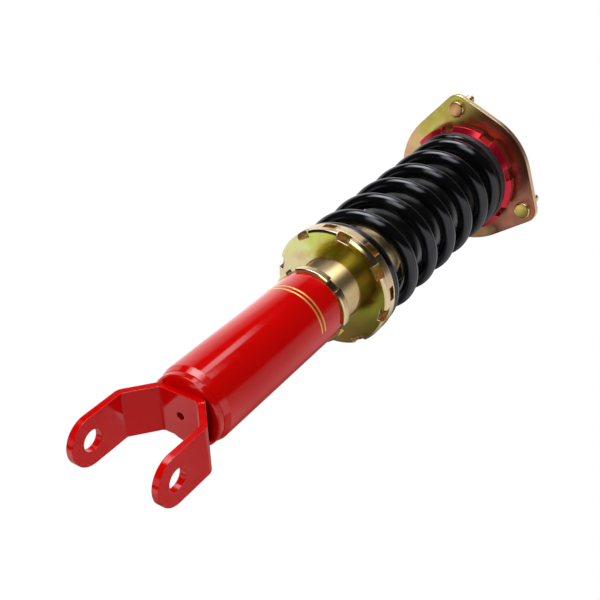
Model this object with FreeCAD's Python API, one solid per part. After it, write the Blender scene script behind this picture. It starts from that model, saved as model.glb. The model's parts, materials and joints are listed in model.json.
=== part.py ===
import FreeCAD, Part
import math
import os

# Coilover shock absorber with a bolted fork at the bottom and a three stud plate on top.
# Millimetres. The origin is the middle of the fork's bolt hole, +X runs along the bolt and
# +Z runs up the damper towards the top plate. Angles are in degrees about +Z from +X.

# Shared small sizes
edge_break = 0.5
cut_past = 1.0
running_gap = 0.05
seated_gap = 0.03

# Fork: one bent strip of steel plate
strip_width = 31.0
strip_thickness = 4.5
fork_gap = 55.0
fork_hole_diameter = 13.5
fold_height = 25.3
floor_height = 41.3
floor_width = 27.2
bend_radius = 2.5
drain_hole_diameter = 5.0

# Lower tube and the end cap that joins it to the fork
tube_diameter = 51.0
tube_wall = 2.95
tube_length = 126.2
tube_bevel_length = 4.6
tube_bevel_depth = 1.3
cap_flange_width = 1.5
cap_flange_thickness = 4.6
cap_edge_chamfer = 0.9
cap_spigot_length = 8.0
cap_bore_diameter = 9.0

# Threaded damper body, a closed tube with its thread left plain
body_wall = 4.0
body_length = 196.0
body_floor_thickness = 8.0
body_overlap = 96.6
body_end_chamfer = 1.2
thread_lead_chamfer = 0.9

# Lock collar on top of the lower tube
collar_wall = 5.25
collar_height = 6.2
collar_chamfer = 0.8
collar_slots = 5
collar_slot_width = 8.6
collar_slot_depth = 2.7
collar_slot_angle = 58.0

# Spring perch and its lock ring, both turned with a spanner in the rim slots
thread_shown = 21.7
perch_overhang = 1.0
perch_slots = 8
perch_slot_width = 9.8
perch_slot_depth = 4.5
lock_ring_height = 5.6
lock_ring_chamfer = 1.5
lock_ring_slot_angle = 13.0
perch_height = 6.9
perch_lip_thickness = 1.6
perch_slot_angle = 38.4
perch_hub_height = 6.0
hub_chamfer = 0.8
hub_gap = 0.5

# Coil spring: closed ends ground flat, wound right handed
wire_diameter = 11.5
spring_length = 190.0
active_pitch = 31.25
closed_gap = 0.05
ground_turns = 0.75
lower_ramp_turns = 0.3
upper_ramp_turns = 0.85
tip_angle = -107.0
arcs_per_turn = 4
points_per_turn = 48

# Rubber isolator and slotted top seat
isolator_thickness = 6.0
isolator_overhang = 0.2
isolator_bore_gap = 0.3
isolator_collar_wall = 1.2
isolator_collar_drop = 5.0
seat_overhang = 4.0
seat_height = 9.4
seat_bevel_height = 3.2
seat_top_chamfer = 0.8
seat_slots = 8
seat_slot_width = 10.5
seat_slot_depth = 3.5
seat_slot_angle = 27.5
seat_hub_drop = 10.0
seat_hub_wall = 2.0
seat_web_drop = 3.0

# Bump stop, its cup and the dust boot
bump_cup_diameter = 39.8
bump_cup_thickness = 3.0
bump_stop_diameter = 38.0
bump_stop_length = 45.0
bump_stop_lobes = 3
bump_stop_bore_gap = 0.3
bump_groove_depth = 4.0
bump_groove_height = 5.0
bump_groove_floor = 1.5
bump_tip_height = 5.0
boot_hub_gap = 1.0
boot_wall = 1.6
boot_room = 1.6
boot_coil_gap = 2.6
boot_neck_height = 26.0
boot_shoulder_height = 6.0
boot_cuff_height = 4.0
boot_overlap = 12.0
boot_gap = 0.3

# Piston rod
rod_diameter = 14.0
rod_thread_diameter = 12.0
rod_stem_diameter = 10.0
rod_end_chamfer = 1.0
rod_end_above_nut = 5.0
rod_hex_width = 6.0
rod_hex_depth = 6.0
stem_past_nut = 2.0

# Piston, valve shims and piston nut
piston_length = 18.0
piston_clearance = 0.5
piston_band_height = 8.0
piston_band_thickness = 1.2
piston_port_diameter = 3.6
piston_port_circle = 24.0
piston_ports = 6
shim_stack_height = 2.0
compression_shim_diameter = 29.0
rebound_shim_diameter = 27.0
piston_nut_height = 8.0
piston_nut_width = 17.0
top_out_gap = 0.3

# Rod guide, seal and gland nut that close the damper body
guide_length = 19.7
seal_height = 6.0
seal_lip_width = 2.0
seal_hollow_depth = 2.0
gland_plug_length = 8.0
gland_flange_thickness = 3.0
gland_pin_hole_diameter = 4.0
gland_pin_hole_depth = 2.5
gland_pin_holes = 2
wiper_lip_width = 2.5
wiper_lip_height = 1.0

# Floating piston between oil and gas, and the gas filling screw
gas_room_height = 40.0
floating_piston_length = 18.0
floating_piston_clearance = 0.2
floating_piston_wall = 5.0
floating_piston_recess = 8.0
ring_section = 2.6
ring_squeeze = 0.2
ring_groove_room = 0.1
fill_screw_diameter = 6.0
fill_screw_head_diameter = 10.0
fill_screw_head_height = 3.0
fill_screw_hex_width = 3.0
fill_screw_hex_depth = 2.0
fill_screw_recess = 1.0

# Top plate with the raised bearing housing
plate_diameter = 117.0
plate_thickness = 5.0
plate_edge_radius = 0.7
plate_gap = 3.6
stud_circle_diameter = 117.0
lobe_radius = 11.5
first_stud_angle = 79.5
studs = 3
stud_diameter = 8.0
stud_knurl_height = 0.4
stud_length = 24.0
stud_head_diameter = 13.5
stud_head_height = 3.0
stud_end_chamfer = 1.0
housing_wall = 5.0
housing_chamfer = 1.0
housing_rim_height = 1.9
lip_height = 3.7
lip_ledge = 4.0

# Ball joint in the housing, its retaining ring and the hardware that clamps the rod to it
ball_diameter = 24.0
ball_flat_width = 1.9
race_diameter = 34.0
race_width = 13.0
retaining_ring_thickness = 1.4
retaining_ring_width = 3.6
retaining_groove_depth = 1.2
retaining_ring_opening = 9.0
spacer_diameter = 18.0
top_washer_diameter = 22.0
top_washer_thickness = 3.0
top_nut_width = 19.0
top_nut_height = 12.0
nut_chamfer = 1.0

# Radii that several pieces share. The body fills the tube, the boot's neck clears the body, the
# seat's hub goes round the neck, the isolator's collar round the hub, and the spring with its
# 62 mm bore round the collar. The boot itself is wider and fills most of the spring.
thread_bore = tube_diameter / 2 - tube_wall
body_radius = thread_bore - running_gap
cylinder_bore = body_radius - body_wall
neck_radius = body_radius + boot_gap + boot_room + boot_wall
hub_inside = neck_radius + boot_hub_gap
seat_hub_radius = hub_inside + seat_hub_wall
collar_bore = seat_hub_radius + isolator_bore_gap
guide_radius = collar_bore + isolator_collar_wall
coil_inside = guide_radius + hub_gap
boot_radius = coil_inside - boot_coil_gap
coil_radius = coil_inside + wire_diameter / 2
coil_outside = coil_inside + wire_diameter
rod_radius = rod_diameter / 2
rod_thread_radius = rod_thread_diameter / 2
slide_bore = rod_radius + running_gap
clamp_bore = rod_thread_radius + running_gap
stem_bore = rod_stem_diameter / 2 + running_gap
perch_radius = coil_outside + perch_overhang
isolator_radius = coil_outside + isolator_overhang
seat_radius = coil_outside + seat_overhang
housing_bore = race_diameter / 2 + seated_gap
ball_radius = ball_diameter / 2
ball_flat_radius = clamp_bore + ball_flat_width
ball_width = 2 * math.sqrt(ball_radius ** 2 - ball_flat_radius ** 2)

# Heights along the axis, from the fork to the top nut
fork_top = floor_height + strip_thickness
tube_bottom = fork_top + cap_flange_thickness
tube_top = tube_bottom + tube_length
collar_top = tube_top + collar_height
lock_ring_bottom = collar_top + thread_shown
perch_bottom = lock_ring_bottom + lock_ring_height
spring_bottom = perch_bottom + perch_height
spring_top = spring_bottom + spring_length
isolator_top = spring_top + isolator_thickness
seat_web_bottom = isolator_top - seat_web_drop
seat_top = isolator_top + seat_height
rod_shoulder = seat_web_bottom - bump_cup_thickness
plate_bottom = seat_top + plate_gap
plate_top = plate_bottom + plate_thickness
race_bottom = plate_bottom + lip_height
race_top = race_bottom + race_width
ball_centre = (race_bottom + race_top) / 2
ball_bottom = ball_centre - ball_width / 2
ball_top = ball_centre + ball_width / 2
washer_top = ball_top + top_washer_thickness
top_nut_top = washer_top + top_nut_height

# Heights inside the damper body
body_bottom = tube_top - body_overlap
body_top = body_bottom + body_length
body_floor = body_bottom + body_floor_thickness
gland_bottom = body_top - gland_plug_length
seal_bottom = gland_bottom - seal_height
guide_bottom = seal_bottom - guide_length
stem_top = guide_bottom - top_out_gap
piston_top = stem_top - shim_stack_height
piston_bottom = piston_top - piston_length
piston_nut_top = piston_bottom - shim_stack_height
piston_nut_bottom = piston_nut_top - piston_nut_height
gas_room_top = body_bottom + gas_room_height


def vec(x, y, z):
    return FreeCAD.Vector(x, y, z)


def polar(radius, angle, height=0.0):
    turn = math.radians(angle)
    return vec(radius * math.cos(turn), radius * math.sin(turn), height)


def revolve(outline):
    """Solid turned about Z from a closed outline of (radius, height) points."""
    points = [vec(radius, 0, height) for radius, height in outline]
    face = Part.Face(Part.makePolygon(points + [points[0]]))
    return face.revolve(vec(0, 0, 0), vec(0, 0, 1), 360)


def cylinder(radius, bottom, top, x=0.0, y=0.0):
    return Part.makeCylinder(radius, top - bottom, vec(x, y, bottom))


def ring(inner, outer, bottom, top):
    return revolve([(inner, bottom), (outer, bottom), (outer, top), (inner, top)])


def hexagon(width, bottom, top):
    """Six sided prism, its width measured across two flats."""
    corner = width / math.sqrt(3)
    points = [polar(corner, 60 * side + 30, bottom) for side in range(6)]
    face = Part.Face(Part.makePolygon(points + [points[0]]))
    return face.extrude(vec(0, 0, top - bottom))


def hex_nut(bore, width, bottom, top):
    """Hexagon with the corners of both faces turned away."""
    flat = width / 2
    corner = width / math.sqrt(3)
    turned = revolve([(bore, bottom), (flat, bottom), (corner, bottom + nut_chamfer),
                      (corner, top - nut_chamfer), (flat, top), (bore, top)])
    return hexagon(width, bottom, top).common(turned)


def cut_slots(blank, count, first_angle, width, floor, outer, bottom, top):
    """Square spanner slots around a rim, open outwards, each with a flat floor."""
    cutters = []
    for number in range(count):
        corner = vec(floor, -width / 2, bottom)
        block = Part.makeBox(outer - floor + cut_past, width, top - bottom, corner)
        block.rotate(vec(0, 0, 0), vec(0, 0, 1), first_angle + number * 360 / count)
        cutters.append(block)
    return blank.cut(Part.makeCompound(cutters))


def drill(blank, count, first_angle, circle, diameter, bottom, top):
    """Round holes evenly spaced on a circle."""
    holes = []
    for number in range(count):
        centre = polar(circle / 2, first_angle + number * 360 / count)
        holes.append(cylinder(diameter / 2, bottom, top, centre.x, centre.y))
    return blank.cut(Part.makeCompound(holes))


def fork_bracket():
    """One strip folded twice on each side: ears, sloping shoulders and a flat floor."""
    half_gap = fork_gap / 2
    half_floor = floor_width / 2
    ear_end = -strip_width / 2
    inner = [vec(half_gap, 0, ear_end), vec(half_gap, 0, fold_height),
             vec(half_floor, 0, floor_height), vec(-half_floor, 0, floor_height),
             vec(-half_gap, 0, fold_height), vec(-half_gap, 0, ear_end)]
    outer = offset_line(inner, strip_thickness)
    inside = bent_line(inner, bend_radius)
    outside = bent_line(outer, bend_radius + strip_thickness)
    ends = [Part.makeLine(inner[0], outer[0]), Part.makeLine(inner[-1], outer[-1])]
    profile = Part.Face(Part.Wire(Part.__sortEdges__(inside + outside + ends)))
    profile.translate(vec(0, -strip_width / 2, 0))
    strip = profile.extrude(vec(0, strip_width, 0))
    reach = half_gap + strip_thickness + cut_past
    hole = across(fork_hole_diameter / 2, reach)
    drain = cylinder(drain_hole_diameter / 2, floor_height - cut_past, fork_top + cut_past)
    return strip.cut(below_ears(reach)).cut(hole).cut(drain)


def across(radius, reach):
    """Cylinder along the bolt axis."""
    return Part.makeCylinder(radius, 2 * reach, vec(-reach, 0, 0), vec(1, 0, 0))


def below_ears(reach):
    """Everything under the bolt axis that lies outside the round ends of the ears."""
    corner = vec(-reach, -strip_width, -strip_width)
    block = Part.makeBox(2 * reach, 2 * strip_width, strip_width, corner)
    return block.cut(across(strip_width / 2, reach))


def offset_line(points, distance):
    """The same folded line, moved outwards by the plate's thickness."""
    moved = []
    last = len(points) - 1
    for index, point in enumerate(points):
        before = max(index, 1)
        after = min(index, last - 1)
        first_side = side_of(points[before - 1], points[before])
        second_side = side_of(points[after], points[after + 1])
        middle = first_side + second_side
        middle.normalize()
        moved.append(point + middle * (distance / middle.dot(first_side)))
    return moved


def side_of(start, end):
    way = end - start
    way.normalize()
    return vec(way.z, 0, -way.x)


def bent_line(points, radius):
    """Straight runs joined by tangent arcs of one radius."""
    edges = []
    start = points[0]
    for before, corner, after in zip(points, points[1:], points[2:]):
        back = before - corner
        ahead = after - corner
        back.normalize()
        ahead.normalize()
        half = back.getAngle(ahead) / 2
        inward = back + ahead
        inward.normalize()
        arc_start = corner + back * (radius / math.tan(half))
        arc_middle = corner + inward * (radius / math.sin(half) - radius)
        arc_end = corner + ahead * (radius / math.tan(half))
        edges.append(Part.makeLine(start, arc_start))
        edges.append(Part.Arc(arc_start, arc_middle, arc_end).toShape())
        start = arc_end
    edges.append(Part.makeLine(start, points[-1]))
    return edges


def tube_end_cap():
    """Flanged plug under the tube, seated on the fork's floor."""
    bore = cap_bore_diameter / 2
    spigot = thread_bore - seated_gap
    flange = tube_diameter / 2 - cap_flange_width
    top = tube_bottom + cap_spigot_length
    return revolve([(bore, fork_top), (flange - cap_edge_chamfer, fork_top),
                    (flange, fork_top + cap_edge_chamfer), (flange, tube_bottom),
                    (spigot, tube_bottom), (spigot, top - edge_break),
                    (spigot - edge_break, top), (bore, top)])


def lower_tube():
    outer = tube_diameter / 2
    foot = outer - tube_bevel_depth
    return revolve([(thread_bore, tube_bottom), (foot, tube_bottom),
                    (outer, tube_bottom + tube_bevel_length), (outer, tube_top - edge_break),
                    (outer - edge_break, tube_top), (thread_bore + edge_break, tube_top),
                    (thread_bore, tube_top - edge_break)])


def body_lock_collar():
    """Narrow ring that jams against the tube's top and fixes the height."""
    outer = thread_bore + collar_wall
    lead = thread_bore + thread_lead_chamfer
    blank = revolve([(thread_bore, tube_top + thread_lead_chamfer), (lead, tube_top),
                     (outer - collar_chamfer, tube_top), (outer, tube_top + collar_chamfer),
                     (outer, collar_top - collar_chamfer), (outer - collar_chamfer, collar_top),
                     (lead, collar_top), (thread_bore, collar_top - thread_lead_chamfer)])
    return cut_slots(blank, collar_slots, collar_slot_angle, collar_slot_width,
                     outer - collar_slot_depth, outer, tube_top - cut_past,
                     collar_top + cut_past)


def damper_body():
    """Closed tube: the outside carries the fine thread, the inside the oil and the gas."""
    outer = body_radius
    shoulder = outer - body_end_chamfer
    screw_hole = fill_screw_diameter / 2 + seated_gap
    return revolve([(screw_hole, body_bottom), (shoulder, body_bottom),
                    (outer, body_bottom + body_end_chamfer), (outer, body_top - body_end_chamfer),
                    (shoulder, body_top), (cylinder_bore, body_top), (cylinder_bore, body_floor),
                    (screw_hole, body_floor)])


def gas_fill_screw():
    head = fill_screw_head_diameter / 2
    shank = fill_screw_diameter / 2
    bottom = body_bottom - fill_screw_head_height
    end = body_floor - fill_screw_recess
    turned = revolve([(0, bottom), (head - edge_break, bottom), (head, bottom + edge_break),
                      (head, body_bottom), (shank, body_bottom), (shank, end), (0, end)])
    socket = hexagon(fill_screw_hex_width, bottom - cut_past, bottom + fill_screw_hex_depth)
    return turned.cut(socket)


def perch_lock_ring():
    lead = thread_bore + thread_lead_chamfer
    blank = revolve([(thread_bore, lock_ring_bottom + thread_lead_chamfer),
                     (lead, lock_ring_bottom), (perch_radius - lock_ring_chamfer, lock_ring_bottom),
                     (perch_radius, lock_ring_bottom + lock_ring_chamfer),
                     (perch_radius, perch_bottom), (thread_bore, perch_bottom)])
    return cut_slots(blank, perch_slots, lock_ring_slot_angle, perch_slot_width,
                     perch_radius - perch_slot_depth, perch_radius,
                     lock_ring_bottom - cut_past, perch_bottom + cut_past)


def spring_perch():
    """Slotted ring with a thin whole lip on top and a hub that centres the spring."""
    hub_top = spring_bottom + perch_hub_height
    lead = thread_bore + thread_lead_chamfer
    blank = revolve([(thread_bore, perch_bottom), (perch_radius, perch_bottom),
                     (perch_radius, spring_bottom - edge_break),
                     (perch_radius - edge_break, spring_bottom), (guide_radius, spring_bottom),
                     (guide_radius, hub_top - hub_chamfer),
                     (guide_radius - hub_chamfer, hub_top),
                     (lead, hub_top), (thread_bore, hub_top - thread_lead_chamfer)])
    return cut_slots(blank, perch_slots, perch_slot_angle, perch_slot_width,
                     perch_radius - perch_slot_depth, perch_radius, perch_bottom - cut_past,
                     spring_bottom - perch_lip_thickness)


def climb(turns, first_pitch, last_pitch, length):
    """Height gained in some turns of a stretch whose pitch changes evenly over its length."""
    return first_pitch * turns + (last_pitch - first_pitch) * turns * turns / (2 * length)


def wire_stages():
    """Stretches of the wire as (turns, pitch at the start, pitch at the end)."""
    closed_pitch = wire_diameter + closed_gap
    stages = [(ground_turns, closed_pitch, closed_pitch),
              (lower_ramp_turns, closed_pitch, active_pitch),
              (upper_ramp_turns, active_pitch, closed_pitch),
              (ground_turns, closed_pitch, closed_pitch)]
    ends = sum(climb(turns, first, last, turns) for turns, first, last in stages)
    rise = spring_length - wire_diameter + 2 * closed_pitch * ground_turns
    stages.insert(2, ((rise - ends) / active_pitch, active_pitch, active_pitch))
    return stages


def wire_height(turns):
    """Height of the wire's centre after some turns, from the lower tip up."""
    closed_pitch = wire_diameter + closed_gap
    height = spring_bottom + wire_diameter / 2 - closed_pitch * ground_turns
    for length, first, last in wire_stages():
        step = min(turns, length)
        height += climb(step, first, last, length)
        turns -= step
    return height


def wire_point(turns):
    return polar(coil_radius, tip_angle + 360 * turns, wire_height(turns))


def wire_way(turns):
    """Direction of the wire, across a very short piece of it."""
    step = 1e-4
    way = wire_point(turns + step) - wire_point(turns - step)
    way.normalize()
    return way


def biarc(start, start_way, end, end_way):
    """Two arcs that leave along start_way, arrive along end_way and meet smoothly."""
    chord = end - start
    a = 2 * (1 - start_way.dot(end_way))
    b = 2 * chord.dot(start_way + end_way)
    reach = (math.sqrt(b * b + 4 * a * chord.dot(chord)) - b) / (2 * a)
    first_corner = start + start_way * reach
    second_corner = end - end_way * reach
    meeting = (first_corner + second_corner) * 0.5
    return [corner_arc(start, first_corner, meeting), corner_arc(meeting, second_corner, end)]


def corner_arc(start, corner, end):
    """Arc from start to end that touches the lines to and from the corner."""
    back = start - corner
    ahead = end - corner
    half = back.getAngle(ahead) / 2
    inward = back + ahead
    inward.normalize()
    middle = corner + inward * (back.Length * (1 - math.sin(half)) / math.cos(half))
    return Part.Arc(start, middle, end).toShape()


def coil_spring():
    """One wire wound on quarter turn biarcs, then ground flat at both seats."""
    total = sum(stage[0] for stage in wire_stages())
    count = round(total * arcs_per_turn)
    edges = []
    for number in range(count):
        begin = total * number / count
        finish = total * (number + 1) / count
        edges += biarc(wire_point(begin), wire_way(begin), wire_point(finish), wire_way(finish))
    section = Part.Wire([Part.makeCircle(wire_diameter / 2, wire_point(0), wire_way(0))])
    wire = Part.Wire(edges).makePipeShell([section], True, False)
    room = ring(coil_radius - wire_diameter, coil_radius + wire_diameter,
                spring_bottom, spring_top)
    print("spring turns", round(total, 2), "least gap", round(least_gap(total), 2))
    return wire.common(room)


def least_gap(total):
    """Smallest space between the wire and a neighbouring turn, measured on points."""
    count = round(total * points_per_turn)
    points = [wire_point(total * number / count) for number in range(count + 1)]
    apart = points_per_turn // 2
    distances = [(points[first] - points[second]).Length
                 for first in range(count + 1) for second in range(first + apart, count + 1)]
    return min(distances) - wire_diameter


def spring_isolator():
    """Rubber ring on top of the spring, with a collar that centres the spring's bore."""
    collar_bottom = spring_top - isolator_collar_drop
    return revolve([(collar_bore, collar_bottom), (guide_radius - edge_break, collar_bottom),
                    (guide_radius, collar_bottom + edge_break), (guide_radius, spring_top),
                    (isolator_radius, spring_top), (isolator_radius, isolator_top),
                    (collar_bore, isolator_top)])


def upper_spring_seat():
    """Slotted flange over the isolator, with a hub inside its collar and a clamped web."""
    hub_bottom = isolator_top - seat_hub_drop
    blank = revolve([(clamp_bore, seat_web_bottom), (hub_inside, seat_web_bottom),
                     (hub_inside, hub_bottom), (seat_hub_radius - hub_chamfer, hub_bottom),
                     (seat_hub_radius, hub_bottom + hub_chamfer),
                     (seat_hub_radius, isolator_top),
                     (isolator_radius, isolator_top),
                     (seat_radius, isolator_top + seat_bevel_height),
                     (seat_radius, seat_top - seat_top_chamfer),
                     (seat_radius - seat_top_chamfer, seat_top), (clamp_bore, seat_top)])
    return cut_slots(blank, seat_slots, seat_slot_angle, seat_slot_width,
                     seat_radius - seat_slot_depth, seat_radius, isolator_top - cut_past,
                     seat_top + cut_past)


def bump_cup():
    edge = bump_cup_diameter / 2
    return revolve([(clamp_bore, rod_shoulder), (edge - edge_break, rod_shoulder),
                    (edge, rod_shoulder + edge_break), (edge, seat_web_bottom),
                    (clamp_bore, seat_web_bottom)])


def bump_stop():
    """Foam stop in round lobes with grooves between them and a narrower tip."""
    bore = rod_radius + bump_stop_bore_gap
    wide = bump_stop_diameter / 2
    waist = wide - bump_groove_depth
    bottom = rod_shoulder - bump_stop_length
    pitch = bump_stop_length / bump_stop_lobes
    outline = [(bore, rod_shoulder), (wide, rod_shoulder)]
    for number in range(1, bump_stop_lobes):
        groove = rod_shoulder - number * pitch
        outline += [(wide, groove + bump_groove_height / 2),
                    (waist, groove + bump_groove_floor / 2),
                    (waist, groove - bump_groove_floor / 2),
                    (wide, groove - bump_groove_height / 2)]
    outline += [(wide, bottom + bump_tip_height), (waist, bottom), (bore, bottom)]
    return revolve(outline)


def dust_boot():
    """Smooth rubber sleeve over the top of the damper body, with a lip that closes on the body
    and a narrower neck that goes up into the seat's hub and over the bump cup."""
    inner = boot_radius - boot_wall
    neck_inside = neck_radius - boot_wall
    shoulder_bottom = seat_web_bottom - boot_neck_height
    shoulder_top = shoulder_bottom + boot_shoulder_height
    cuff = body_radius + boot_gap
    cup = bump_cup_diameter / 2
    bottom = body_top - boot_overlap
    cuff_top = bottom + boot_cuff_height
    slope = inner - cuff
    return revolve([(cuff, bottom), (boot_radius - edge_break, bottom),
                    (boot_radius, bottom + edge_break), (boot_radius, shoulder_bottom),
                    (neck_radius, shoulder_top), (neck_radius, seat_web_bottom),
                    (cup, seat_web_bottom), (cup, rod_shoulder), (neck_inside, rod_shoulder),
                    (neck_inside, shoulder_top), (inner, shoulder_bottom),
                    (inner, cuff_top + slope), (cuff, cuff_top)])


def piston_rod():
    """Chromed rod with a thinner stem for the piston and a threaded upper end."""
    stem = rod_stem_diameter / 2
    bottom = piston_nut_bottom - stem_past_nut
    top = top_nut_top + rod_end_above_nut
    turned = revolve([(0, bottom), (stem - rod_end_chamfer, bottom),
                      (stem, bottom + rod_end_chamfer), (stem, stem_top), (rod_radius, stem_top),
                      (rod_radius, rod_shoulder), (rod_thread_radius, rod_shoulder),
                      (rod_thread_radius, top - rod_end_chamfer),
                      (rod_thread_radius - rod_end_chamfer, top), (0, top)])
    return turned.cut(hexagon(rod_hex_width, top - rod_hex_depth, top + cut_past))


def piston_middle():
    return (piston_top + piston_bottom) / 2


def damper_piston():
    """Piston with a groove for its band and a ring of oil ports."""
    outer = cylinder_bore - piston_clearance
    groove = cylinder_bore - running_gap - piston_band_thickness
    low = piston_middle() - piston_band_height / 2
    high = piston_middle() + piston_band_height / 2
    blank = revolve([(stem_bore, piston_bottom), (outer, piston_bottom), (outer, low),
                     (groove, low), (groove, high), (outer, high), (outer, piston_top),
                     (stem_bore, piston_top)])
    return drill(blank, piston_ports, 0, piston_port_circle, piston_port_diameter,
                 piston_bottom - cut_past, piston_top + cut_past)


def piston_band():
    outer = cylinder_bore - running_gap
    low = piston_middle() - piston_band_height / 2
    return ring(outer - piston_band_thickness, outer, low, low + piston_band_height)


def compression_shims():
    return ring(stem_bore, compression_shim_diameter / 2, piston_top, stem_top)


def rebound_shims():
    return ring(stem_bore, rebound_shim_diameter / 2, piston_nut_top, piston_bottom)


def piston_nut():
    return hex_nut(stem_bore, piston_nut_width, piston_nut_bottom, piston_nut_top)


def rod_guide():
    return ring(slide_bore, cylinder_bore - seated_gap, guide_bottom, seal_bottom)


def rod_seal():
    """Lip seal, hollow on its oil side."""
    outer = cylinder_bore - seated_gap
    hollow_top = seal_bottom + seal_hollow_depth
    inner_lip = slide_bore + seal_lip_width
    outer_lip = outer - seal_lip_width
    return revolve([(slide_bore, seal_bottom), (inner_lip, seal_bottom),
                    (inner_lip, hollow_top), (outer_lip, hollow_top), (outer_lip, seal_bottom),
                    (outer, seal_bottom), (outer, gland_bottom), (slide_bore, gland_bottom)])


def gland_nut():
    """Screwed plug that closes the body, with a wiper lip around the rod."""
    plug = cylinder_bore - seated_gap
    flange = body_radius - body_end_chamfer
    top = body_top + gland_flange_thickness
    lip = slide_bore + wiper_lip_width
    lip_top = top + wiper_lip_height
    blank = revolve([(slide_bore, gland_bottom), (plug, gland_bottom), (plug, body_top),
                     (flange, body_top), (flange, top - edge_break), (flange - edge_break, top),
                     (lip, top), (lip, lip_top), (slide_bore, lip_top)])
    return drill(blank, gland_pin_holes, 0, lip + flange, gland_pin_hole_diameter,
                 top - gland_pin_hole_depth, top + cut_past)


def floating_piston():
    """Cup that parts the oil from the gas, with a groove for its ring."""
    outer = cylinder_bore - floating_piston_clearance
    top = gas_room_top + floating_piston_length
    middle = gas_room_top + floating_piston_length / 2
    low = middle - ring_section / 2 - ring_groove_room
    high = middle + ring_section / 2 + ring_groove_room
    groove = cylinder_bore - ring_section - ring_squeeze
    recess = outer - floating_piston_wall
    floor = top - floating_piston_recess
    return revolve([(0, gas_room_top), (outer, gas_room_top), (outer, low), (groove, low),
                    (groove, high), (outer, high), (outer, top), (recess, top),
                    (recess, floor), (0, floor)])


def floating_piston_ring():
    section = ring_section / 2
    middle = gas_room_top + floating_piston_length / 2
    return Part.makeTorus(cylinder_bore - seated_gap - section, section, vec(0, 0, middle))


def stud_centre(number):
    return polar(stud_circle_diameter / 2, first_stud_angle + number * 360 / studs)


def plate_outline():
    """Circle with tangent flanks that run out to a round lobe at each stud."""
    main = plate_diameter / 2
    spread = math.degrees(math.acos((main - lobe_radius) / (stud_circle_diameter / 2)))
    lift = vec(0, 0, plate_bottom)
    edges = []
    for number in range(studs):
        angle = first_stud_angle + number * 360 / studs
        centre = stud_centre(number) + lift
        flank_start = polar(main, angle - spread) + lift
        lobe_start = centre + polar(lobe_radius, angle - spread)
        lobe_end = centre + polar(lobe_radius, angle + spread)
        flank_end = polar(main, angle + spread) + lift
        rim_middle = polar(main, angle + 180 / studs) + lift
        rim_end = polar(main, angle + 360 / studs - spread) + lift
        edges.append(Part.makeLine(flank_start, lobe_start))
        edges.append(Part.Arc(lobe_start, centre + polar(lobe_radius, angle), lobe_end).toShape())
        edges.append(Part.makeLine(lobe_end, flank_end))
        edges.append(Part.Arc(flank_end, rim_middle, rim_end).toShape())
    return Part.Wire(edges)


def lies_level(edge):
    return edge.BoundBox.ZLength < edge_break / 10


def top_plate():
    """Round plate with three stud lobes and a bored housing for the ball joint."""
    plate = Part.Face(plate_outline()).extrude(vec(0, 0, plate_thickness))
    plate = plate.makeFillet(plate_edge_radius, [edge for edge in plate.Edges if lies_level(edge)])
    wall = housing_bore + housing_wall
    groove = housing_bore + retaining_groove_depth
    groove_top = race_top + retaining_ring_thickness
    rim = groove_top + housing_rim_height
    lip = race_diameter / 2 - lip_ledge
    housing = revolve([(0, plate_bottom), (wall, plate_bottom), (wall, rim - housing_chamfer),
                       (wall - housing_chamfer, rim), (0, rim)])
    bore = revolve([(0, plate_bottom - cut_past), (lip, plate_bottom - cut_past),
                    (lip, race_bottom), (housing_bore, race_bottom), (housing_bore, race_top),
                    (groove, race_top), (groove, groove_top), (housing_bore, groove_top),
                    (housing_bore, rim + cut_past), (0, rim + cut_past)])
    whole = plate.fuse(housing).cut(bore).removeSplitter()
    knurl_hole = stud_diameter + 2 * (stud_knurl_height + seated_gap)
    return drill(whole, studs, first_stud_angle, stud_circle_diameter, knurl_hole,
                 plate_bottom - cut_past, plate_top + cut_past)


def mount_studs():
    """Three studs with flat round heads, each pressed into the plate by a knurl left plain."""
    head = stud_head_diameter / 2
    shank = stud_diameter / 2
    knurl = shank + stud_knurl_height
    bottom = plate_bottom - stud_head_height
    top = plate_top + stud_length
    stud = revolve([(0, bottom), (head - edge_break, bottom), (head, bottom + edge_break),
                    (head, plate_bottom), (knurl, plate_bottom), (knurl, plate_top),
                    (shank, plate_top), (shank, top - stud_end_chamfer),
                    (shank - stud_end_chamfer, top), (0, top)])
    pieces = []
    for number in range(studs):
        piece = stud.copy()
        piece.translate(stud_centre(number))
        pieces.append(piece)
    return Part.makeCompound(pieces)


def bearing_ball():
    ball = Part.makeSphere(ball_radius, vec(0, 0, ball_centre))
    return ball.common(ring(clamp_bore, ball_diameter, ball_bottom, ball_top))


def bearing_race():
    blank = cylinder(race_diameter / 2, race_bottom, race_top)
    return blank.cut(Part.makeSphere(ball_radius + running_gap, vec(0, 0, ball_centre)))


def retaining_ring():
    """Open spring ring in the housing's groove above the race."""
    outer = housing_bore + retaining_groove_depth - seated_gap
    top = race_top + retaining_ring_thickness
    whole = ring(outer - retaining_ring_width, outer, race_top, top)
    corner = vec(0, -retaining_ring_opening / 2, race_top - cut_past)
    height = retaining_ring_thickness + 2 * cut_past
    return whole.cut(Part.makeBox(outer + cut_past, retaining_ring_opening, height, corner))


def ball_spacer():
    edge = spacer_diameter / 2
    return revolve([(clamp_bore, seat_top), (edge, seat_top), (edge, ball_bottom - edge_break),
                    (edge - edge_break, ball_bottom), (clamp_bore, ball_bottom)])


def top_washer():
    return ring(clamp_bore, top_washer_diameter / 2, ball_top, washer_top)


def top_nut():
    return hex_nut(clamp_bore, top_nut_width, washer_top, top_nut_top)


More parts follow.
